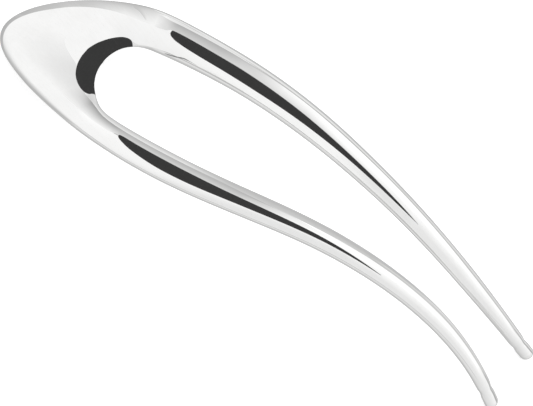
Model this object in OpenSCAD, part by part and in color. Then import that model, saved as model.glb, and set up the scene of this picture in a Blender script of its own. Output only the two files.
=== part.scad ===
// A two-prong hairpin in one piece of polished silver. A bar of changing width runs from one ball tip
// along its prong, round the leaf-shaped head and back down the other prong. The flat pattern is
// dished across and bowed along, and the pin lies on its head's end and its two ball tips, on Z = 0.
// X runs along the pin towards the tips, Y runs across it, and Z is up.

/* [Pin] */
// Length of the metal from the end of the head to the end of a ball, measured along the bow
pin_length = 125.5; // [110:0.5:140]
// Width across the outer edges at the shoulders, where the pin is widest
shoulder_width = 33.6; // [30:0.2:38]
// Width of one prong where it leaves the shoulder
prong_width = 7.2; // [6:0.1:8]
// Thickness of the bar at the shoulders
bar_thickness = 4; // [3:0.1:4.6]

/* [Bow and dish] */
// How strongly the pin is bowed along its length, as a share of the normal bow
bow = 1; // [0.6:0.05:1.2]
// Radius of the hollow across the pin
dish_radius = 54; // [40:1:200]

/* [Ball tips] */
// Width of a ball tip
ball_width = 2.64; // [2.2:0.02:3]
// Length of a ball tip, from its end to the groove behind it
ball_length = 4.1; // [3:0.1:5]
// Depth of the groove behind a ball
groove_depth = 0.14; // [0.05:0.01:0.3]

/* [Smoothness] */
// Points round one section of the bar
section_points = 32; // [16:4:32]
// Sections between two rows of the table
rings_per_row = 6; // [3:1:6]

/* [Hidden] */

// Columns of the section table. A row is one section of the bar: where its middle lies along the pin,
// measured from the head's end, and across it, its half width, its turn from straight across the
// pin and its half thickness. Fullness is 2 for an oval and more for a flatter plate. On the hole's
// side, squareness makes the edge crisper, and drop is the share of the thickness lost towards it.
// Lift raises the middle of a section above the dished surface, and tip raises the hole's side.
// Rows go from past the ball tip to the middle of the head. A smooth curve is guided by the rows.
ALONG = 0;
ACROSS = 1;
HALF_WIDTH = 2;
TURN = 3;
HALF_THICKNESS = 4;
FULLNESS = 5;
SQUARENESS = 6;
DROP = 7;
LIFT = 8;
TIP = 9;
SECTIONS = [
  [135.50,  8.54,  1.66,  0, 1.30, 2.0,  2.0, 0.00,  0.00,  0.00],
  [125.50,  6.57,  1.31,  0, 1.32, 2.0,  2.0, 0.00,  0.00,  0.00],
  [115.50,  5.54,  1.67,  0, 1.42, 2.0,  2.0, 0.00,  0.00,  0.00],
  [105.50,  5.43,  2.08,  0, 1.52, 2.0,  2.0, 0.00,  0.00,  0.00],
  [ 95.50,  6.16,  2.29,  0, 1.62, 2.0,  2.0, 0.00,  0.00,  0.00],
  [ 85.50,  7.39,  2.53,  0, 1.72, 2.0,  2.0, 0.00,  0.00,  0.00],
  [ 75.50,  8.90,  2.79,  0, 1.82, 2.0,  2.0, 0.00,  0.00,  0.00],
  [ 65.50, 10.72,  3.12,  0, 1.90, 2.0,  2.0, 0.00,  0.00,  0.00],
  [ 55.50, 12.24,  3.32,  0, 1.95, 2.0,  2.3, 0.05,  0.00,  0.00],
  [ 45.50, 13.10,  3.48,  0, 2.00, 2.0,  3.0, 0.15, -0.02,  0.05],
  [ 35.50, 13.02,  3.59,  0, 2.00, 2.0,  5.5, 0.30, -0.36, -0.26],
  [ 28.05, 12.53,  3.65,  6, 2.00, 2.1,  8.0, 0.36, -0.51, -0.69],
  [ 24.80, 11.75,  3.90, 22, 1.95, 2.3,  9.0, 0.40,  0.11, -0.15],
  [ 20.24,  9.52,  4.97, 44, 1.90, 2.6, 12.0, 0.42,  0.55,  0.76],
  [ 14.80,  5.32,  8.13, 67, 1.80, 2.9, 18.0, 0.45,  0.54,  1.09],
  [  9.65,  0.00, 12.54, 90, 1.70, 3.0, 28.0, 0.50,  1.25,  0.43]
];

// Pitch of the pin above level, in degrees, at even steps along it from one step before the head's end
PITCHES = [56, 42, 23, 12, 8.5, 10.5, 13, 12, 7, -1.5, -11, -20.5, -31, -41.5, -53];
PITCH_STEP = 10;
BOW_STEP = 0.5;

// Sizes that the table was drawn for, and how much the chosen sizes stretch it
DRAWN_LENGTH = 125.5;
DRAWN_SHOULDER = 33.6;
DRAWN_PRONG = 7.2;
DRAWN_THICKNESS = 4;
DRAWN_BALL = 2.64;
ROW_STEP = 10;
stretch_along = pin_length / DRAWN_LENGTH;
stretch_thickness = bar_thickness / DRAWN_THICKNESS;
stretch_bar = prong_width / DRAWN_PRONG;
stretch_across = (shoulder_width - prong_width) / (DRAWN_SHOULDER - DRAWN_PRONG);
ball_fit = ball_width / DRAWN_BALL;

// The mirrored rows lead from the middle of the head down the other prong
function mirrored(row) = [
  row[ALONG], -row[ACROSS], row[HALF_WIDTH], 180 - row[TURN], row[HALF_THICKNESS],
  row[FULLNESS], row[SQUARENESS], row[DROP], row[LIFT], row[TIP]
];
last_row = len(SECTIONS) - 1;
bar_rows = concat(SECTIONS, [for (i = [last_row - 1 : -1 : 0]) mirrored(SECTIONS[i])]);
bar_end = len(bar_rows) - 3;

// Even cubic spline guided by the rows of a table, at a place counted in rows
function spline(rows, place) =
  let (
    first = min(max(floor(place), 0), len(rows) - 4),
    t = place - first,
    before = pow(1 - t, 3) / 6,
    here = (3 * pow(t, 3) - 6 * pow(t, 2) + 4) / 6,
    next = (-3 * pow(t, 3) + 3 * pow(t, 2) + 3 * t + 1) / 6,
    after = pow(t, 3) / 6
  )
  before * rows[first] + here * rows[first + 1] + next * rows[first + 2] + after * rows[first + 3];

// The bow: distance along the metal, then X, Z and pitch there
bow_steps = floor((len(PITCHES) - 3) * PITCH_STEP / BOW_STEP);
function pitch_at(along) = bow * spline(PITCHES, along / PITCH_STEP);
bow_line = [
  for (i = 0, x = 0, z = 0;
       i <= bow_steps;
       middle = pitch_at((i + 0.5) * BOW_STEP),
       i = i + 1,
       x = x + BOW_STEP * cos(middle),
       z = z + BOW_STEP * sin(middle))
  [i * BOW_STEP, x, z, pitch_at(i * BOW_STEP)]
];
bow_x = [for (p = bow_line) [p[0], p[1]]];
bow_z = [for (p = bow_line) [p[0], p[2]]];
bow_pitch = [for (p = bow_line) [p[0], p[3]]];

// A point of the flat pattern, at a height above its middle surface, dished across and bowed along
function formed(along, across, height) =
  let (
    s = along * stretch_along,
    reach = min(max(s, 0), bow_steps * BOW_STEP),
    past = s - reach,
    pitch = lookup(reach, bow_pitch),
    lean = across / dish_radius,
    steep = sqrt(1 + pow(lean, 2)),
    lift = pow(across, 2) / (2 * dish_radius) + height / steep
  )
  [
    stretch_along * lookup(reach, bow_x) + past * cos(pitch) - lift * sin(pitch),
    across - height * lean / steep,
    stretch_along * lookup(reach, bow_z) + past * sin(pitch) + lift * cos(pitch)
  ];

// How far a section near a tip is drawn in: the round end of the ball, and the groove behind it
GROOVE_REACH = 0.7;
function round_end(from_tip) =
  let (r = ball_width / 2)
  from_tip >= r ? 1 : sqrt(max(1 - pow(1 - from_tip / r, 2), 0));
function groove(from_tip) =
  1 - 2 * groove_depth / ball_width * exp(-pow((from_tip - ball_length) / GROOVE_REACH, 2));
function ball_share(from_tip) = ball_fit + (1 - ball_fit) * min(from_tip / ROW_STEP, 1);
function drawn_in(from_tip) = round_end(from_tip) * groove(from_tip) * ball_share(from_tip);

// How steeply the loss of thickness sets in towards the hole's side
DROP_POWER = 3;

// The ring of points round the bar at a place counted in rows, where 0 is the end of one ball
function ring(place) =
  let (
    row = spline(bar_rows, place),
    from_tip = min(place, bar_end - place) * ROW_STEP,
    share = drawn_in(from_tip),
    half_width = row[HALF_WIDTH] * share * (from_tip < ROW_STEP ? 1 : stretch_bar),
    half_thickness = row[HALF_THICKNESS] * share * (from_tip < ROW_STEP ? 1 : stretch_thickness)
  )
  [
    for (i = [0 : section_points - 1])
    let (
      angle = 360 * i / section_points,
      reach = cos(angle),
      side = sign(round(sin(angle) * 1000)),
      power = reach < 0 ? row[SQUARENESS] : row[FULLNESS],
      drop = reach < 0 ? row[DROP] * pow(-reach, DROP_POWER) : 0,
      swell = half_thickness * (1 - drop) * sqrt(max(1 - pow(abs(reach), power), 0)),
      height = side * swell + row[LIFT] - row[TIP] * reach
    )
    formed(
      row[ALONG] - sin(row[TURN]) * half_width * reach,
      row[ACROSS] * stretch_across + cos(row[TURN]) * half_width * reach,
      height
    )
  ];

// Places of the rings: close together over the ball and its groove, then even along the bar
CAP_ANGLES = [18, 36, 54, 72, 90];
GROOVE_PLACES = [-1.4, -0.8, -0.4, 0, 0.4, 0.8, 1.4];
tip_places = concat(
  [for (angle = CAP_ANGLES) ball_width / 2 * (1 - cos(angle)) / ROW_STEP],
  [for (shift = GROOVE_PLACES) (ball_length + shift) / ROW_STEP]
);
even_places = [for (i = [rings_per_row : (bar_end - 1) * rings_per_row]) i / rings_per_row];
half_row = [0.7, 0.85];
places = concat(
  tip_places,
  half_row,
  even_places,
  [for (i = [len(half_row) - 1 : -1 : 0]) bar_end - half_row[i]],
  [for (i = [len(tip_places) - 1 : -1 : 0]) bar_end - tip_places[i]]
);

function tip_point(place) =
  let (row = spline(bar_rows, place))
  formed(row[ALONG], row[ACROSS] * stretch_across, 0);

// Points and faces of the whole skin, moved so that the pin lies on Z = 0 about the middle of its box
rings = [for (place = places) ring(place)];
raw_points = concat([for (r = rings) each r], [tip_point(0), tip_point(bar_end)]);
first_tip = len(rings) * section_points;
second_tip = first_tip + 1;
low_x = min([for (p = raw_points) p.x]);
high_x = max([for (p = raw_points) p.x]);
low_z = min([for (p = raw_points) p.z]);
skin_points = [for (p = raw_points) p - [(low_x + high_x) / 2, 0, low_z]];

function corner(ring_number, i) = ring_number * section_points + (i % section_points);
skin_faces = concat(
  [
    for (k = [0 : len(rings) - 2], i = [0 : section_points - 1])
    each [
      [corner(k, i), corner(k + 1, i), corner(k + 1, i + 1)],
      [corner(k, i), corner(k + 1, i + 1), corner(k, i + 1)]
    ]
  ],
  [for (i = [0 : section_points - 1]) [first_tip, corner(0, i), corner(0, i + 1)]],
  [
    for (i = [0 : section_points - 1])
    [second_tip, corner(len(rings) - 1, i + 1), corner(len(rings) - 1, i)]
  ]
);

module hairpin() {
  color("silver")
    polyhedron(points = skin_points, faces = skin_faces, convexity = 6);
}

hairpin();
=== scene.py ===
"""Looks of the two-prong hairpin: the same form as the solid, finely meshed, in polished silver.

The light cards near the end stand round the pin, a few millimetres off its skin, and are seen in the
metal's reflections alone: they are painted reflections that lay its dark streaks and grey and white bands
onto the metal.
They follow the photograph's reflections from its own viewing angle. Without the loop that sets
them up, the pin shows the plain soft light of the studio's sky.
"""

import math

import bpy
import numpy as np
from mathutils import Matrix, Vector


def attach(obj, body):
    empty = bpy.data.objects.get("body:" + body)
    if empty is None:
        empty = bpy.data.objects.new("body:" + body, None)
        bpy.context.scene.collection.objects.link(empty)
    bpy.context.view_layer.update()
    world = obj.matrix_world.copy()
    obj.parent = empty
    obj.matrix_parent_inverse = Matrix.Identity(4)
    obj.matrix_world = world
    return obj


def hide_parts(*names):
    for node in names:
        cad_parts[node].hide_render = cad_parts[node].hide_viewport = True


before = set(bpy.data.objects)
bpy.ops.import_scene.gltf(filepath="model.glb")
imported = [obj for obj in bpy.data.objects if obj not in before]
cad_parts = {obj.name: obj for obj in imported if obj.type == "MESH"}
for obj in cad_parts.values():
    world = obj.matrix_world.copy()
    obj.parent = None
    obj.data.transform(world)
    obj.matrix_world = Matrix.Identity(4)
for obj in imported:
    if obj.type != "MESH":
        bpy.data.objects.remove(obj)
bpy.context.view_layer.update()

MM = 0.001

# Form
# A row is one section of the bar, in millimetres and degrees: where its middle lies along the pin
# and across it, its half width, turn, half thickness and fullness, and on the hole's side its
# squareness and drop, then its lift above the dished surface and how far its hole side is tipped up.
ALONG, ACROSS, HALF_WIDTH, TURN, HALF_THICKNESS, FULLNESS, SQUARENESS, DROP, LIFT, TIP = range(10)
SECTIONS = np.array([
    [135.50, 8.54, 1.66, 0, 1.30, 2.0, 2.0, 0.00, 0.00, 0.00],
    [125.50, 6.57, 1.31, 0, 1.32, 2.0, 2.0, 0.00, 0.00, 0.00],
    [115.50, 5.54, 1.67, 0, 1.42, 2.0, 2.0, 0.00, 0.00, 0.00],
    [105.50, 5.43, 2.08, 0, 1.52, 2.0, 2.0, 0.00, 0.00, 0.00],
    [95.50, 6.16, 2.29, 0, 1.62, 2.0, 2.0, 0.00, 0.00, 0.00],
    [85.50, 7.39, 2.53, 0, 1.72, 2.0, 2.0, 0.00, 0.00, 0.00],
    [75.50, 8.90, 2.79, 0, 1.82, 2.0, 2.0, 0.00, 0.00, 0.00],
    [65.50, 10.72, 3.12, 0, 1.90, 2.0, 2.0, 0.00, 0.00, 0.00],
    [55.50, 12.24, 3.32, 0, 1.95, 2.0, 2.3, 0.05, 0.00, 0.00],
    [45.50, 13.10, 3.48, 0, 2.00, 2.0, 3.0, 0.15, -0.02, 0.05],
    [35.50, 13.02, 3.59, 0, 2.00, 2.0, 5.5, 0.30, -0.36, -0.26],
    [28.05, 12.53, 3.65, 6, 2.00, 2.1, 8.0, 0.36, -0.51, -0.69],
    [24.80, 11.75, 3.90, 22, 1.95, 2.3, 9.0, 0.40, 0.11, -0.15],
    [20.24, 9.52, 4.97, 44, 1.90, 2.6, 12.0, 0.42, 0.55, 0.76],
    [14.80, 5.32, 8.13, 67, 1.80, 2.9, 18.0, 0.45, 0.54, 1.09],
    [9.65, 0.00, 12.54, 90, 1.70, 3.0, 28.0, 0.50, 1.25, 0.43],
])
ROW_STEP = 10.0
DROP_POWER = 3

# Pitch of the pin above level, at even steps along it from one step before the head's end
PITCHES = np.array([56, 42, 23, 12, 8.5, 10.5, 13, 12, 7, -1.5, -11, -20.5, -31, -41.5, -53], float)
PITCH_STEP = 10.0
BOW_STEP = 0.05
DISH_RADIUS = 54.0

BALL_WIDTH = 2.64
BALL_LENGTH = 4.1
GROOVE_DEPTH = 0.14
GROOVE_REACH = 0.7

# How finely the skin is meshed: points round a section, rings between two rows of the table, the
# angle between the rings of a round end, the space behind it, and those between the rings along a
# ball, over its groove (which spans as far to both sides of its middle) and along the prong
SIDES = 96
RINGS_PER_ROW = 24
CAP_STEP = 6
CAP_GAP = 0.15
BALL_STEP = 0.2
GROOVE_STEP = 0.1
GROOVE_SPAN = 1.5
PRONG_STEP = 0.35
# Places near a tip, in rows, that show how the pin lies
TIP_PLACES = np.array([0.0, 0.01, 0.05, 0.1])


def mirrored(row):
    """The same section on the other prong."""
    other = row.copy()
    other[ACROSS] = -row[ACROSS]
    other[TURN] = 180 - row[TURN]
    return other


BAR_ROWS = np.array(list(SECTIONS) + [mirrored(row) for row in SECTIONS[-2::-1]])
BAR_END = len(BAR_ROWS) - 3


def spline(rows, places):
    """Even cubic spline guided by the rows of a table, at places counted in rows."""
    first = np.clip(np.floor(places).astype(int), 0, len(rows) - 4)
    t = (places - first).reshape((-1,) + (1,) * (rows.ndim - 1))
    return (
        (1 - t) ** 3 / 6 * rows[first]
        + (3 * t**3 - 6 * t**2 + 4) / 6 * rows[first + 1]
        + (-3 * t**3 + 3 * t**2 + 3 * t + 1) / 6 * rows[first + 2]
        + t**3 / 6 * rows[first + 3]
    )


# The bow: distance along the metal, then pitch, X and Z there
bow_s = np.arange(0, (len(PITCHES) - 3) * PITCH_STEP + BOW_STEP / 2, BOW_STEP)
bow_pitch = np.radians(spline(PITCHES, bow_s / PITCH_STEP))
middle_pitch = np.radians(spline(PITCHES, (bow_s[:-1] + BOW_STEP / 2) / PITCH_STEP))
bow_x = np.concatenate([[0], np.cumsum(np.cos(middle_pitch)) * BOW_STEP])
bow_z = np.concatenate([[0], np.cumsum(np.sin(middle_pitch)) * BOW_STEP])


def formed(along, across, height):
    """Points of the flat pattern, dished across and bowed along."""
    reach = np.clip(along, 0, bow_s[-1])
    past = along - reach
    pitch = np.interp(reach, bow_s, bow_pitch)
    lean = across / DISH_RADIUS
    steep = np.sqrt(1 + lean**2)
    lift = across**2 / (2 * DISH_RADIUS) + height / steep
    return np.stack([
        np.interp(reach, bow_s, bow_x) + past * np.cos(pitch) - lift * np.sin(pitch),
        across - height * lean / steep,
        np.interp(reach, bow_s, bow_z) + past * np.sin(pitch) + lift * np.cos(pitch),
    ], -1)


def drawn_in(from_tip):
    """How far a section near a tip is drawn in by the round end and by the groove behind the ball."""
    r = BALL_WIDTH / 2
    round_end = np.sqrt(np.clip(1 - np.clip(1 - from_tip / r, 0, 1) ** 2, 0, 1))
    groove = np.exp(-(((from_tip - BALL_LENGTH) / GROOVE_REACH) ** 2))
    return round_end * (1 - 2 * GROOVE_DEPTH / BALL_WIDTH * groove)


def skin(places, angles):
    """Points of the skin before the pin is laid down: places in rows, angles round the bar in degrees."""
    places, angles = np.broadcast_arrays(np.asarray(places, float), np.asarray(angles, float))
    row = spline(BAR_ROWS, places.ravel()).reshape(places.shape + (BAR_ROWS.shape[1],))
    share = drawn_in(np.minimum(places, BAR_END - places) * ROW_STEP)
    half_width = row[..., HALF_WIDTH] * share
    half_thickness = row[..., HALF_THICKNESS] * share
    turn = np.radians(row[..., TURN])
    angle = np.radians(angles)
    reach = np.cos(angle)
    side = np.sign(np.round(np.sin(angle), 6))
    holeward = reach < 0
    power = np.where(holeward, row[..., SQUARENESS], row[..., FULLNESS])
    drop = np.where(holeward, row[..., DROP], 0) * np.abs(reach) ** DROP_POWER
    swell = half_thickness * (1 - drop) * np.sqrt(np.clip(1 - np.abs(reach) ** power, 0, 1))
    return formed(
        row[..., ALONG] - np.sin(turn) * half_width * reach,
        row[..., ACROSS] + np.cos(turn) * half_width * reach,
        side * swell + row[..., LIFT] - row[..., TIP] * reach,
    )


def rings(places):
    """Rings of points round the bar at places counted in rows."""
    return skin(np.asarray(places)[:, None], np.arange(SIDES)[None] * 360 / SIDES)


def whole_bar(near_tip):
    """Places of the rings from one tip to the other: those given near each tip, and even ones between."""
    even = np.arange(RINGS_PER_ROW, (BAR_END - 1) * RINGS_PER_ROW + 1) / RINGS_PER_ROW
    return np.concatenate([near_tip, even, BAR_END - near_tip[::-1]])


def laid_down():
    """How far the pin is moved so that it lies on Z = 0 about the middle of its box, in millimetres."""
    points = rings(whole_bar(TIP_PLACES)).reshape(-1, 3)
    low = points.min(0)
    high = points.max(0)
    return np.array([(low[0] + high[0]) / 2, 0, low[2]])


LAID_DOWN = laid_down()


def places_near_tip():
    """Places of the rings within one row of a tip: on the round end, along the ball, over the groove
    and along the prong."""
    ball = BALL_WIDTH / 2
    cap = [ball * (1 - math.cos(math.radians(a))) for a in range(CAP_STEP, 90, CAP_STEP)]
    from_tip = np.concatenate([
        cap,
        np.arange(ball + CAP_GAP, BALL_LENGTH - GROOVE_SPAN, BALL_STEP),
        np.arange(BALL_LENGTH - GROOVE_SPAN, BALL_LENGTH + GROOVE_SPAN, GROOVE_STEP),
        np.arange(BALL_LENGTH + GROOVE_SPAN + GROOVE_STEP, ROW_STEP, PRONG_STEP),
    ])
    return from_tip / ROW_STEP


def pin_mesh(name):
    """The whole skin as one closed mesh."""
    places = whole_bar(places_near_tip())
    ends = rings(np.array([0.0, float(BAR_END)])).mean(1)
    points = (np.concatenate([rings(places).reshape(-1, 3), ends]) - LAID_DOWN) * MM
    count = len(places)
    faces = []
    for k in range(count - 1):
        a = k * SIDES
        b = (k + 1) * SIDES
        for i in range(SIDES):
            j = (i + 1) % SIDES
            faces.append((a + i, a + j, b + j, b + i))
    last = (count - 1) * SIDES
    first_end = count * SIDES
    second_end = first_end + 1
    for i in range(SIDES):
        j = (i + 1) % SIDES
        faces.append((first_end, j, i))
        faces.append((second_end, last + i, last + j))
    mesh = bpy.data.meshes.new(name)
    mesh.from_pydata(points.tolist(), [], faces)
    mesh.polygons.foreach_set("use_smooth", [True] * len(mesh.polygons))
    mesh.update()
    return mesh


# Materials
def fed(tree, socket, value):
    """A number or a colour is set on the socket, and what another node gives is linked to it."""
    if isinstance(value, bpy.types.NodeSocket):
        tree.links.new(value, socket)
    else:
        socket.default_value = value


def maths(tree, operation, first, second):
    """Two values added, multiplied or the like."""
    node = tree.nodes.new("ShaderNodeMath")
    node.operation = operation
    fed(tree, node.inputs[0], first)
    fed(tree, node.inputs[1], second)
    return node.outputs[0]


def ranged(tree, value, low, high, to_low=0.0, to_high=1.0, kind="LINEAR"):
    """A value's share of the way from low to high, as a number from to_low to to_high."""
    node = tree.nodes.new("ShaderNodeMapRange")
    node.interpolation_type = kind
    node.inputs["From Min"].default_value = low
    node.inputs["From Max"].default_value = high
    node.inputs["To Min"].default_value = to_low
    node.inputs["To Max"].default_value = to_high
    fed(tree, node.inputs["Value"], value)
    return node.outputs["Result"]


def tinted(tree, value, dark, light):
    """A colour between two that follows a value from 0 to 1."""
    node = tree.nodes.new("ShaderNodeValToRGB")
    node.color_ramp.elements[0].color = dark + (1,)
    node.color_ramp.elements[1].color = light + (1,)
    fed(tree, node.inputs["Fac"], value)
    return node.outputs["Color"]


def noise(tree, waves, turn=0.0, detail=3.0):
    """Noise with as many waves a metre along the three axes as waves says, turned about Z."""
    where = tree.nodes.new("ShaderNodeTexCoord")
    mapping = tree.nodes.new("ShaderNodeMapping")
    mapping.vector_type = "TEXTURE"
    mapping.inputs["Rotation"].default_value = (0, 0, math.radians(turn))
    mapping.inputs["Scale"].default_value = [1 / number for number in waves]
    texture = tree.nodes.new("ShaderNodeTexNoise")
    texture.inputs["Scale"].default_value = 1.0
    texture.inputs["Detail"].default_value = detail
    tree.links.new(where.outputs["Object"], mapping.inputs["Vector"])
    tree.links.new(mapping.outputs["Vector"], texture.inputs["Vector"])
    return texture.outputs["Fac"]


def new_material(name):
    """A material, its node tree and its shader."""
    mat = bpy.data.materials.new(name)
    mat.use_nodes = True
    return mat, mat.node_tree, mat.node_tree.nodes["Principled BSDF"]


# Waves a metre of the silver's soft mottle, its fine marks along the pin, the patches that carry a
# slanting grain and that grain, with the turns of the marks and of the grain in degrees
MOTTLE_WAVES = (260, 260, 260)
MARK_WAVES = (130, 1900, 1900)
MARK_TURN = -18.0
PATCH_WAVES = (45, 45, 45)
GRAIN_WAVES = (2600, 240, 240)
GRAIN_TURN = 62.0
# The stretch of a noise that is used, and between which two shares of the tint each of them moves it
NOISE_USED = (0.3, 0.7)
PATCH_EDGE = (0.48, 0.62)
MOTTLE_TINT = (0.28, 0.58)
MARK_TINT = (-0.02, 0.18)
GRAIN_TINT = (-0.1, 0.1)
SILVER_DARK = (0.895, 0.895, 0.888)
SILVER_LIGHT = (0.975, 0.975, 0.97)
SILVER_ROUGHNESS = (0.03, 0.06)


def silver():
    """Mirror-polished silver with faint polishing marks."""
    mat, tree, shader = new_material("polished_silver")
    shader.inputs["Metallic"].default_value = 1.0
    mottle = noise(tree, MOTTLE_WAVES, detail=4.0)
    marks = noise(tree, MARK_WAVES, MARK_TURN)
    slanting = noise(tree, GRAIN_WAVES, GRAIN_TURN, detail=1.0)
    patches = ranged(tree, noise(tree, PATCH_WAVES, detail=1.0), *PATCH_EDGE)
    grain = maths(tree, "MULTIPLY", ranged(tree, slanting, *NOISE_USED, *GRAIN_TINT), patches)
    soft = ranged(tree, mottle, *NOISE_USED, *MOTTLE_TINT)
    total = maths(tree, "ADD", soft, ranged(tree, marks, *NOISE_USED, *MARK_TINT))
    total = maths(tree, "ADD", total, grain)
    fed(tree, shader.inputs["Base Color"], tinted(tree, total, SILVER_DARK, SILVER_LIGHT))
    fed(tree, shader.inputs["Roughness"], ranged(tree, mottle, *NOISE_USED, *SILVER_ROUGHNESS))
    return mat


# Pin
pin = bpy.data.objects.new("hairpin_silver", pin_mesh("hairpin_silver"))
bpy.context.scene.collection.objects.link(pin)
pin.data.materials.append(silver())
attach(pin, "root")
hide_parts("hairpin")


# Camera
# A long lens that looks down at 60 degrees across the pin. EYE is its place, given in millimetres, BACK
# points from the pin towards it, and RIGHT is the picture's level. The last two distances are metres.
LENS = 800.0
SENSOR_WIDTH = 36.0
NEAREST_SEEN = 0.1
FARTHEST_SEEN = 20.0
EYE = Vector((115.19, -1125.39, 1947.26)) * MM
BACK = Vector((0.05063, -0.50020, 0.86443)).normalized()
RIGHT = Vector((0.81658, 0.51906, 0.25252))
RIGHT = (RIGHT - RIGHT.dot(BACK) * BACK).normalized()
UP = BACK.cross(RIGHT)

cam_data = bpy.data.cameras.new("camera")
cam_data.lens = LENS
cam_data.sensor_width = SENSOR_WIDTH
cam_data.clip_start = NEAREST_SEEN
cam_data.clip_end = FARTHEST_SEEN
cam = bpy.data.objects.new("camera", cam_data)
cam.matrix_world = Matrix.Translation(EYE) @ Matrix((RIGHT, UP, BACK)).transposed().to_4x4()
bpy.context.scene.collection.objects.link(cam)
bpy.context.scene.camera = cam


# Stage
def staged(name, points, faces, mat):
    """A sheet of the stage, with the given faces through points in millimetres."""
    mesh = bpy.data.meshes.new(name)
    mesh.from_pydata([tuple(MM * float(c) for c in p) for p in points], [], faces)
    obj = bpy.data.objects.new(name, mesh)
    bpy.context.scene.collection.objects.link(obj)
    obj.data.materials.append(mat)
    return obj


# Floor
# Half its width and how far it lies below the pin, in millimetres, and the paper's glow and tints
FLOOR = 4000
FLOOR_DROP = 0.02
FLOOR_GLOW = 0.42
PAPER_WAVES = 8.0
PAPER_DARK = (0.90, 0.90, 0.90)
PAPER_LIGHT = (0.93, 0.93, 0.93)


def floor_material():
    """Pale matt paper on a light table."""
    mat, tree, shader = new_material("floor_paper")
    shader.inputs["Roughness"].default_value = 0.9
    shader.inputs["Specular IOR Level"].default_value = 0.0
    shader.inputs["Emission Color"].default_value = (1, 1, 1, 1)
    shader.inputs["Emission Strength"].default_value = FLOOR_GLOW
    where = tree.nodes.new("ShaderNodeTexCoord")
    grain = tree.nodes.new("ShaderNodeTexNoise")
    grain.inputs["Scale"].default_value = PAPER_WAVES
    tree.links.new(where.outputs["Object"], grain.inputs["Vector"])
    fed(tree, shader.inputs["Base Color"], tinted(tree, grain.outputs["Fac"], PAPER_DARK, PAPER_LIGHT))
    return mat


floor_corners = [(x * FLOOR, y * FLOOR, -FLOOR_DROP) for x, y in ((-1, -1), (1, -1), (1, 1), (-1, 1))]
floor = staged("floor", floor_corners, [(0, 1, 2, 3)], floor_material())
floor.visible_glossy = False


# Light cards that paint reflections: glowing sheets a few millimetres off the skin, set from the camera's
# view of it, which lay painted dark, grey and white reflections onto the metal
# Columns of a card's table: a place along the bar, and the angles round the section between which the
# card shows in the metal
PLACE, FROM, TO = range(3)
# Glow of the cards that paint the dark reflections on the metal
PAINTED_REFLECTION_BLACK = 0.042
# Steps along the skin and round it, in rows and degrees, from which its slope is found
PLACE_NUDGE = 0.01
ANGLE_NUDGE = 0.5


def light_path(places, angles):
    """Points of the skin where the pin lies, and the way to the light that they send to the camera."""
    places, angles = np.broadcast_arrays(np.asarray(places, float), np.asarray(angles, float))
    along = skin(places + PLACE_NUDGE, angles) - skin(places - PLACE_NUDGE, angles)
    across = skin(places, angles + ANGLE_NUDGE) - skin(places, angles - ANGLE_NUDGE)
    normal = np.cross(across, along)
    normal /= np.linalg.norm(normal, axis=-1, keepdims=True)
    back = np.array(BACK)
    normal *= np.sign((normal * back).sum(-1, keepdims=True))
    light = 2 * (normal * back).sum(-1, keepdims=True) * normal - back
    return skin(places, angles) - LAID_DOWN, light


def smooth(table, count):
    """A table's columns, drawn as smooth curves through its rows, at evenly spaced places."""
    rows = np.asarray(table, float)
    first = 2 * rows[0] - rows[1]
    last = 2 * rows[-1] - rows[-2]
    padded = np.concatenate([[first], rows, [last]])
    x = np.linspace(0, len(rows) - 1, count)
    i = np.clip(x.astype(int), 0, len(rows) - 2)
    t = (x - i)[:, None]
    before, start, end, after = (padded[i + k] for k in range(4))
    bend = 2 * before - 5 * start + 4 * end - after
    twist = 3 * start - before - 3 * end + after
    return 0.5 * (2 * start + (end - before) * t + bend * t**2 + twist * t**3)


def grid_faces(rows, columns, turned):
    """Faces of a grid of points, turned over if asked."""
    faces = []
    for k in range(rows - 1):
        for i in range(columns - 1):
            a = k * columns + i
            corners = (a, a + columns, a + columns + 1, a + 1)
            faces.append(corners[::-1] if turned else corners)
    return faces


def fading(count, fades):
    """How far each row of a card shows. It fades in and out over the given shares of its length."""
    along = np.linspace(0, 1, count)
    shown = np.ones(count)
    if fades[0]:
        shown = np.minimum(shown, along / fades[0])
    if fades[1]:
        shown = np.minimum(shown, (1 - along) / fades[1])
    return shown


# A card's glow, seen in the metal, is a painted reflection over its strip of the skin.
def reflected_card(name, table, off, tones, covers, fades, steps, count, mat):
    """A card whose reflection fills a strip of the skin, as the camera sees it. Three pairs say how far its
    FROM edge and its TO edge stand off the skin in millimetres, how brightly they glow and how far they
    cover what is behind. It has steps strips and count rows."""
    rows = smooth(table, count)
    across = np.linspace(0, 1, steps + 1)

    def between(first, second):
        return first * (1 - across) + second * across

    places = np.repeat(rows[:, PLACE, None], steps + 1, 1)
    at, light = light_path(places, between(rows[:, FROM, None], rows[:, TO, None]))
    points = at + between(*off)[None, :, None] * light
    tone = np.tile(between(*tones), (count, 1))
    cover = fading(count, fades)[:, None] * between(*covers)
    facing = np.cross(points[1:, :-1] - points[:-1, :-1], points[:-1, 1:] - points[:-1, :-1])
    turned = (facing * light[:-1, :-1]).sum() > 0
    obj = staged(name, points.reshape(-1, 3), grid_faces(count, steps + 1, turned), mat)
    obj.visible_camera = False
    obj.visible_diffuse = False
    obj.visible_transmission = False
    obj.visible_shadow = False
    for kind, values in (("tone", tone), ("cover", cover)):
        layer = obj.data.attributes.new(kind, "FLOAT", "POINT")
        layer.data.foreach_set("value", values.ravel())
    return obj


def attribute(tree, name):
    """A number that the points of a mesh carry."""
    node = tree.nodes.new("ShaderNodeAttribute")
    node.attribute_name = name
    return node.outputs["Fac"]


def mixed_shaders(tree, share, first, second):
    """Two shaders mixed."""
    node = tree.nodes.new("ShaderNodeMixShader")
    tree.links.new(share, node.inputs["Fac"])
    tree.links.new(first, node.inputs[1])
    tree.links.new(second, node.inputs[2])
    return node.outputs[0]


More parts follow.
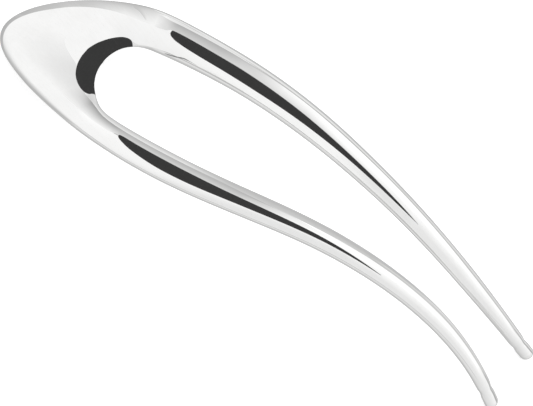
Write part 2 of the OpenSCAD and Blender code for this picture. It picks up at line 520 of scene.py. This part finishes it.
def card_material():
    """A card that glows on its front only, as brightly and as densely as its points say. Seen in the metal,
    its glow is a painted reflection.
    """
    mat, tree, shader = new_material("painted_reflection_card")
    tree.nodes.remove(shader)
    glow = tree.nodes.new("ShaderNodeEmission")
    tree.links.new(attribute(tree, "tone"), glow.inputs["Strength"])
    clear = tree.nodes.new("ShaderNodeBsdfTransparent").outputs[0]
    front = mixed_shaders(tree, attribute(tree, "cover"), clear, glow.outputs[0])
    behind = tree.nodes.new("ShaderNodeNewGeometry").outputs["Backfacing"]
    out = tree.nodes["Material Output"]
    tree.links.new(mixed_shaders(tree, behind, front, clear), out.inputs["Surface"])
    return mat


# Painted dark reflections: the dark streaks along the prongs
STREAK_UPPER = [
    [9.83, 84, 88],
    [9.82, 81, 92],
    [9.77, 78.5, 97],
    [9.68, 77.5, 101.5],
    [9.5, 78, 107],
    [9.1, 79.5, 113.5],
    [8.5, 82, 119],
    [7.6, 85, 123],
    [6.6, 88.5, 120.5],
    [5.4, 97, 117.5],
    [4.2, 106, 117],
    [3.6, 113, 114],
]
STREAK_LOWER = [
    [18.75, 77, 79],
    [18.78, 71, 83],
    [18.9, 63, 85],
    [19.2, 52, 84],
    [19.8, 42, 83],
    [20.5, 40, 80],
    [21.3, 43, 74.5],
    [22.2, 46, 70],
    [23.2, 50.5, 66.5],
    [23.9, 53, 62],
    [24.4, 55, 57],
]
# Painted dark reflection: the dark crescent along the hole's end
CRESCENT = [
    [11.5, 185, 196],
    [11.51, 165, 196],
    [11.6, 148, 196],
    [11.9, 137, 196],
    [12.4, 132, 196],
    [13.0, 131, 196],
    [13.6, 132.5, 196],
    [14.2, 132, 196],
    [14.7, 127, 196],
    [15.2, 119, 196],
    [15.7, 111.5, 196],
    [16.1, 109.5, 196],
    [16.4, 112.5, 196],
    [16.58, 120, 196],
    [16.63, 134, 196],
    [16.45, 160, 196],
]
# Painted soft grey reflection beyond the streak of the upper prong, and where it narrows towards the
# streak's end
BAND_UPPER = [
    [10.5, 46, 90],
    [10.3, 48, 90],
    [10.0, 51, 87],
    [9.8, 51, 80],
    [9.4, 51, 79.5],
    [8.7, 50, 82.5],
    [8.0, 49.5, 85],
    [7.5, 49, 86.5],
    [7.1, 51, 88],
]
BAND_UPPER_END = [
    [8.0, 49.5, 85],
    [7.5, 49, 86.5],
    [7.1, 51, 88],
    [6.6, 61, 90],
    [6.0, 75, 94],
    [5.3, 86, 99],
    [4.4, 98, 105],
]
# Painted soft grey shade over the head's hollow round the hole, at the lower shoulder and along the lower
# prong
HOLLOW_PAINTED_SHADE = [
    [13.8, 48, 104],
    [14.3, 48, 107],
    [14.8, 50, 113],
    [15.2, 52, 118],
    [15.7, 58, 114],
    [16.2, 61, 114],
    [16.7, 65, 116],
    [17.1, 68, 121],
]
SHOULDER_LOWER = [
    [16.2, 61, 114],
    [16.7, 65, 116],
    [17.1, 68, 121],
    [17.5, 70, 122],
    [18.0, 70, 114],
    [18.5, 72, 109],
    [18.7, 79, 108.5],
    [18.85, 83, 108],
]
BAND_LOWER = [
    [18.5, 72, 109],
    [18.7, 79, 108.5],
    [18.85, 83, 108],
    [19.4, 83, 107.5],
    [20.2, 80.5, 107],
    [21.0, 76, 105.5],
    [21.5, 73, 100],
    [22.0, 70, 95],
    [22.5, 68.5, 92],
    [23.5, 65, 76],
]
# Painted lighter grey reflection beside it, towards the far edge of the lower prong
CURL_START = [
    [16.5, 116, 156],
    [16.7, 116, 153],
    [17.0, 119, 147],
    [17.3, 123.5, 142],
    [17.7, 118.5, 138],
]
CURL_LOWER = [
    [17.0, 119, 147],
    [17.3, 123.5, 142],
    [17.7, 118.5, 138],
    [18.1, 112, 134],
    [18.6, 108.3, 132],
    [19.4, 107, 131],
    [20.2, 106.5, 131],
    [20.9, 105, 131],
    [21.5, 99, 131],
]
CURL_END = [
    [20.2, 106.5, 131],
    [20.9, 105, 131],
    [21.5, 99, 131],
    [22.2, 93, 130],
    [23.3, 92.5, 130],
    [24.2, 96, 131],
    [25.0, 98.5, 130],
    [25.6, 100, 129],
]
# Painted grey reflection along the far rim of the head
RIM_SHOULDER = [
    [10.2, 38, 60],
    [10.4, 36, 78],
    [10.7, 31, 87],
    [11.0, 16, 88],
    [11.3, 10, 83],
    [11.7, 11, 74],
    [12.1, 11, 64],
    [12.5, 12, 55.5],
    [12.9, 13.5, 50.5],
]
RIM_MIDDLE = [
    [11.7, 11, 74],
    [12.1, 11, 64],
    [12.5, 12, 55.5],
    [12.9, 13.5, 50.5],
    [13.3, 15, 49.5],
    [13.7, 15.5, 43],
]
RIM_HEAD = [
    [12.9, 13.5, 50.5],
    [13.3, 15, 49.5],
    [13.7, 15.5, 43],
    [14.1, 9, 32],
    [14.5, 1, 20.5],
    [14.8, -4, 14],
    [15.2, -8, 11],
]
# Painted white reflection on the inner side of the upper shoulder
FILL_UPPER = [
    [8.3, 124, 147],
    [8.8, 120, 151],
    [9.5, 110, 153],
    [10.0, 95, 158],
    [10.6, 89, 164],
    [11.2, 86, 167],
    [11.6, 82, 150],
    [12.0, 82, 138],
    [12.4, 86, 133],
]
# Painted white reflection beside the grey on the hole's side of the lower prong
FILL_LOWER = [
    [23.2, 80, 90],
    [23.7, 78, 94],
    [24.4, 76, 97],
    [25.2, 76, 99.5],
    [26.0, 74, 99.8],
    [26.6, 72, 96.5],
    [27.0, 70, 93],
    [27.3, 70, 89.5],
]
# Painted dark reflections: a dark line beside the far edge of the upper prong, and a short wavy one on its
# hole side
LINE_UPPER = [
    [0.5, 71.5, 79],
    [0.8, 71, 78],
    [1.5, 66.5, 73.5],
    [2.5, 61, 67.5],
    [3.5, 56, 62],
    [4.5, 51, 57.5],
    [5.5, 48, 55],
    [6.4, 46, 51.3],
    [7.2, 47, 51.2],
    [8.0, 49.5, 53],
    [8.6, 51, 54],
]
WAVE_UPPER = [
    [9.76, 161.5, 166.5],
    [9.62, 160.5, 165.5],
    [9.5, 157.5, 162.5],
    [9.36, 153, 158],
    [9.2, 146.3, 151],
    [9.1, 145.5, 149.8],
    [9.0, 146.2, 150],
    [8.8, 147.5, 151],
]
# Painted light grey and white reflections beside the line along the upper prong, and the painted soft light
# of its shoulder
BESIDE_UPPER = [
    [0.05, 52, 66],
    [0.2, 53, 69],
    [0.7, 56, 71.2],
    [1.4, 51, 67.5],
    [2.4, 45.5, 61.8],
    [3.2, 43.5, 57.7],
    [4.0, 43, 53.7],
    [4.4, 43, 51.5],
]
WHITE_TIP = [
    [0.75, 79, 92],
    [1.0, 77.8, 92],
    [1.5, 74, 90],
    [2.0, 71, 86],
    [2.5, 67.8, 82],
]
SHOULDER_UPPER = [
    [7.9, 42, 49],
    [8.4, 40, 50],
    [9.0, 40, 50.5],
    [9.5, 40, 51],
    [9.9, 40, 52],
    [10.2, 40, 52],
]
# Painted soft grey shade across the far rim where the head goes over into the upper prong
RIM_PAINTED_SHADE = [
    [11.45, 24, 42],
    [11.4, 26, 47],
    [11.3, 29, 52],
    [11.2, 38, 60],
    [11.1, 49, 69],
    [11.0, 60, 77],
    [10.9, 68, 82],
]
# Painted reflection on the far edge of the lower prong, towards its tip
EDGE_LOWER = [
    [24.0, 96, 112],
    [24.4, 97, 114],
    [25.0, 98.5, 116],
    [25.5, 100, 118],
    [26.0, 99.5, 118],
    [26.5, 97, 118],
    [27.0, 92.7, 112],
    [27.3, 89.7, 106],
]
# Painted reflections on the balls, which light them as evenly across the grooves as the prongs are, and a
# painted dark line along each
BALL_UPPER = [
    [0.06, 84, 160],
    [0.16, 82, 165],
    [0.3, 82, 165],
    [0.6, 82, 165],
    [0.85, 80, 160],
]
BALL_LOWER = [
    [27.05, 0, 90],
    [27.35, 0, 88],
    [27.7, 0, 86],
    [27.86, 2, 82],
    [27.95, 6, 78],
]
BALL_LINE_UPPER = [
    [0.05, 66, 80],
    [0.15, 68, 81],
    [0.5, 70, 79.5],
    [0.7, 71, 79],
    [0.85, 71, 78.5],
]
BALL_LINE_LOWER = [
    [27.1, 91, 101],
    [27.3, 89, 100],
    [27.5, 87, 99],
    [27.7, 84, 99],
    [27.85, 80, 98],
    [27.95, 76, 98],
]

# Each card's name and table, then three pairs for its FROM and TO edges: how far they stand off the skin
# in millimetres, how brightly they glow and how far they cover what is behind. Then over what shares of
# its length it fades in and out, and its numbers of strips and rows. A nearer card hides a farther one.
# These cards paint the reflections onto the metal.
PAINTED_REFLECTION_CARDS = [
    ("dark_card_upper", STREAK_UPPER, (4, 1.5), (PAINTED_REFLECTION_BLACK, PAINTED_REFLECTION_BLACK), (1, 1), (0, 0), 12, 90),
    ("dark_card_lower", STREAK_LOWER, (4, 1.5), (PAINTED_REFLECTION_BLACK, PAINTED_REFLECTION_BLACK), (1, 1), (0, 0), 12, 90),
    ("dark_hood", CRESCENT, (2, 2), (PAINTED_REFLECTION_BLACK, PAINTED_REFLECTION_BLACK), (1, 1), (0, 0), 40, 180),
    ("band_upper", BAND_UPPER, (2.9, 2.9), (0.47, 0.68), (1, 1), (0.4, 0.35), 12, 90),
    ("band_upper_end", BAND_UPPER_END, (3.1, 3.1), (0.97, 0.77), (0, 1), (0.1, 0.4), 12, 90),
    ("hollow", HOLLOW_PAINTED_SHADE, (2.6, 2.6), (0.66, 0.81), (0, 1), (0.45, 0), 24, 90),
    ("shoulder_lower", SHOULDER_LOWER, (2.5, 2.5), (0.96, 0.36), (1, 1), (0.3, 0), 24, 90),
    ("band_lower", BAND_LOWER, (2.4, 2.4), (0.70, 0.48), (1, 1), (0.15, 0.35), 24, 90),
    ("curl_start", CURL_START, (2.6, 2.6), (0.69, 0.78), (1, 1), (0.25, 0), 12, 90),
    ("curl_lower", CURL_LOWER, (2.5, 2.5), (0.87, 0.59), (1, 1), (0.15, 0), 12, 90),
    ("curl_end", CURL_END, (2.4, 2.4), (0.65, 0.51), (1, 1), (0.2, 0.15), 12, 90),
    ("rim_shoulder", RIM_SHOULDER, (2.6, 2.6), (0.38, 0.95), (1, 1), (0.5, 0), 24, 90),
    ("rim_middle", RIM_MIDDLE, (2.5, 2.5), (0.55, 0.64), (1, 1), (0.45, 0), 24, 90),
    ("rim_head", RIM_HEAD, (2.4, 2.4), (0.45, 0.52), (1, 1), (0.4, 0.15), 24, 90),
    ("fill_upper", FILL_UPPER, (2.5, 2.5), (0.98, 0.93), (1, 1), (0.12, 0.12), 12, 90),
    ("fill_lower", FILL_LOWER, (2.5, 2.5), (1.10, 1.06), (1, 1), (0.14, 0.14), 12, 90),
    ("line_upper", LINE_UPPER, (2, 2), (0.54, 0.53), (1, 1), (0.1, 0.1), 4, 90),
    ("wave_upper", WAVE_UPPER, (0.5, 0.5), (0.22, 0.22), (1, 1), (0.14, 0.3), 4, 90),
    ("beside_upper", BESIDE_UPPER, (2.4, 2.4), (0.77, 0.76), (1, 1), (0.14, 0.14), 12, 90),
    ("white_tip", WHITE_TIP, (2.4, 2.4), (1.09, 1.05), (1, 1), (0.25, 0.25), 12, 90),
    ("shoulder_upper", SHOULDER_UPPER, (2.4, 2.4), (0.82, 0.86), (1, 1), (0.2, 0.3), 12, 90),
    ("rim_painted_shade", RIM_PAINTED_SHADE, (1.5, 1.5), (0.64, 0.50), (0, 0.5), (0.2, 0.2), 12, 90),
    ("edge_lower", EDGE_LOWER, (2, 2), (0.55, 0.77), (1, 1), (0.14, 0.14), 12, 90),
    ("ball_upper", BALL_UPPER, (0.5, 0.5), (1.02, 0.64), (0.9, 0.9), (0.25, 0.25), 12, 90),
    ("ball_lower", BALL_LOWER, (0.5, 0.5), (0.72, 1.00), (0.9, 0.9), (0.25, 0.25), 12, 90),
    ("ball_line_upper", BALL_LINE_UPPER, (0.4, 0.4), (0.45, 0.45), (1, 1), (0.25, 0.25), 4, 90),
    ("ball_line_lower", BALL_LINE_LOWER, (0.4, 0.4), (0.41, 0.47), (1, 1), (0.2, 0.2), 4, 90),
]
card = card_material()
for name, table, off, tones, covers, fades, steps, count in PAINTED_REFLECTION_CARDS:
    reflected_card(name, table, off, tones, covers, fades, steps, count, card)


# Sky
# The studio's light is worked out from the direction alone. A table gives stops, from the lowest
# value to the highest: the value and how bright it is there. A pair says between which two values one
# stretch of the sky goes over into the next.
# From above, from near to far
FROM_ABOVE = [(-1, 0.83), (-0.45, 0.845), (-0.2, 0.915), (0.0, 0.96), (0.2, 1.02), (0.4, 1.12), (1, 1.15)]
OVER_HEAD = 0.985
LEFT_TO_RIGHT = (-0.42, -0.08)
# The far wall, down from the edge of the light: a thin dark line, light grey, then dark at its foot
FAR_EDGE = (0.0, 0.629, -0.777)
FAR_WALL = [(0, 0.40), (0.15, 0.42), (0.20, 0.86), (0.45, 0.86), (0.58, 0.50), (1, 0.55)]
WALL_TOP = (0.10, 0.13)
WALL_SIDE = (-0.45, -0.28)
# Below the horizon, downwards. The horizon lies lower on the near side, in the middle.
GROUND = [(0, 0.42), (0.09, 0.44), (0.14, 0.80), (0.45, 0.76), (0.75, 0.55), (1, 0.55)]
GROUND_TOP = (-0.02, 0.04)
FAR_GROUND = 0.55
FAR_GROUND_EDGE = (0.0, 0.2)
RIGHT_GROUND = 0.80
RIGHT_GROUND_EDGE = (0.3, 0.8)
NEAR_DROP = 0.18
NEAR_EDGE = (-0.5, -0.9)
NEAR_LEFT = (-0.36, -0.2)
NEAR_RIGHT = (0.3, 0.1)
# The head's side, which fades softly into the dark below, upwards
HEAD_SIDE = [
    (-1, 0.44), (-0.6, 0.50), (-0.35, 0.55), (-0.2, 0.60), (-0.1, 0.67), (0, 0.73),
    (0.1, 0.80), (0.2, 0.89), (0.32, 0.95), (0.5, 0.985), (1.4, 0.985),
]
HEAD_EDGE = (-0.36, -0.50)
HEAD_FAR_FROM = 0.35


def share_along(tree, way, axis):
    """How far a direction points along an axis."""
    node = tree.nodes.new("ShaderNodeVectorMath")
    node.operation = "DOT_PRODUCT"
    node.inputs[1].default_value = axis
    tree.links.new(way, node.inputs[0])
    return node.outputs["Value"]


def eased(tree, value, ends):
    """A soft step from 0 to 1 as a value goes from the first end to the second."""
    return ranged(tree, value, *ends, kind="SMOOTHSTEP")


def blended(tree, share, first, second):
    """A tone between two."""
    node = tree.nodes.new("ShaderNodeMix")
    node.data_type = "FLOAT"
    tree.links.new(share, node.inputs["Factor"])
    fed(tree, node.inputs["A"], first)
    fed(tree, node.inputs["B"], second)
    return node.outputs["Result"]


def toned(tree, value, stops):
    """A tone that follows a table of stops."""
    low = float(stops[0][0])
    high = float(stops[-1][0])
    share = maths(tree, "MULTIPLY", maths(tree, "SUBTRACT", value, low), 1 / (high - low))
    node = tree.nodes.new("ShaderNodeValToRGB")
    elements = node.color_ramp.elements
    while len(elements) < len(stops):
        elements.new(0.5)
    for element, (place, tone) in zip(elements, stops):
        element.position = (place - low) / (high - low)
        element.color = (tone, tone, tone, 1)
    tree.links.new(share, node.inputs["Fac"])
    return node.outputs["Color"]


def studio_world():
    """White light from above that ends on a straight edge on the far side, grey below the horizon."""
    world = bpy.data.worlds.new("studio")
    world.use_nodes = True
    tree = world.node_tree
    way = tree.nodes.new("ShaderNodeTexCoord").outputs["Generated"]
    right = share_along(tree, way, (1.0, 0.0, 0.0))
    far = share_along(tree, way, (0.0, 1.0, 0.0))
    down = share_along(tree, way, (0.0, 0.0, -1.0))
    past_edge = share_along(tree, way, FAR_EDGE)
    above = toned(tree, far, FROM_ABOVE)
    tone = blended(tree, eased(tree, right, LEFT_TO_RIGHT), OVER_HEAD, above)
    on_wall = maths(tree, "MULTIPLY", eased(tree, past_edge, WALL_TOP), eased(tree, right, WALL_SIDE))
    tone = blended(tree, on_wall, tone, toned(tree, past_edge, FAR_WALL))
    near = maths(tree, "MULTIPLY", eased(tree, far, NEAR_EDGE), eased(tree, right, NEAR_LEFT))
    near = maths(tree, "MULTIPLY", near, eased(tree, right, NEAR_RIGHT))
    horizon = maths(tree, "SUBTRACT", down, maths(tree, "MULTIPLY", near, NEAR_DROP))
    ground = toned(tree, horizon, GROUND)
    ground = blended(tree, eased(tree, far, FAR_GROUND_EDGE), ground, FAR_GROUND)
    ground = blended(tree, eased(tree, right, RIGHT_GROUND_EDGE), ground, RIGHT_GROUND)
    tone = blended(tree, eased(tree, horizon, GROUND_TOP), tone, ground)
    lift = maths(tree, "MAXIMUM", maths(tree, "ADD", far, HEAD_FAR_FROM), 0.0)
    height = maths(tree, "SUBTRACT", lift, down)
    tone = blended(tree, eased(tree, right, HEAD_EDGE), tone, toned(tree, height, HEAD_SIDE))
    background = tree.nodes["Background"]
    tree.links.new(tone, background.inputs["Color"])
    background.inputs["Strength"].default_value = 1.0
    return world


bpy.context.scene.world = studio_world()


# Lamp
# Its width and place in metres, and its power in watts
LAMP_WIDTH = 0.8
LAMP_POWER = 2.0
LAMP_PLACE = (0.0, 0.1, 1.2)

lamp_light = bpy.data.lights.new("top_light", "AREA")
lamp_light.shape = "DISK"
lamp_light.size = LAMP_WIDTH
lamp_light.energy = LAMP_POWER
lamp = bpy.data.objects.new("top_light", lamp_light)
lamp.location = LAMP_PLACE
lamp.visible_glossy = False
bpy.context.scene.collection.objects.link(lamp)

settings = bpy.context.scene.view_settings
settings.view_transform = "Standard"
settings.look = "None"
settings.exposure = 0.0
settings.gamma = 1.0
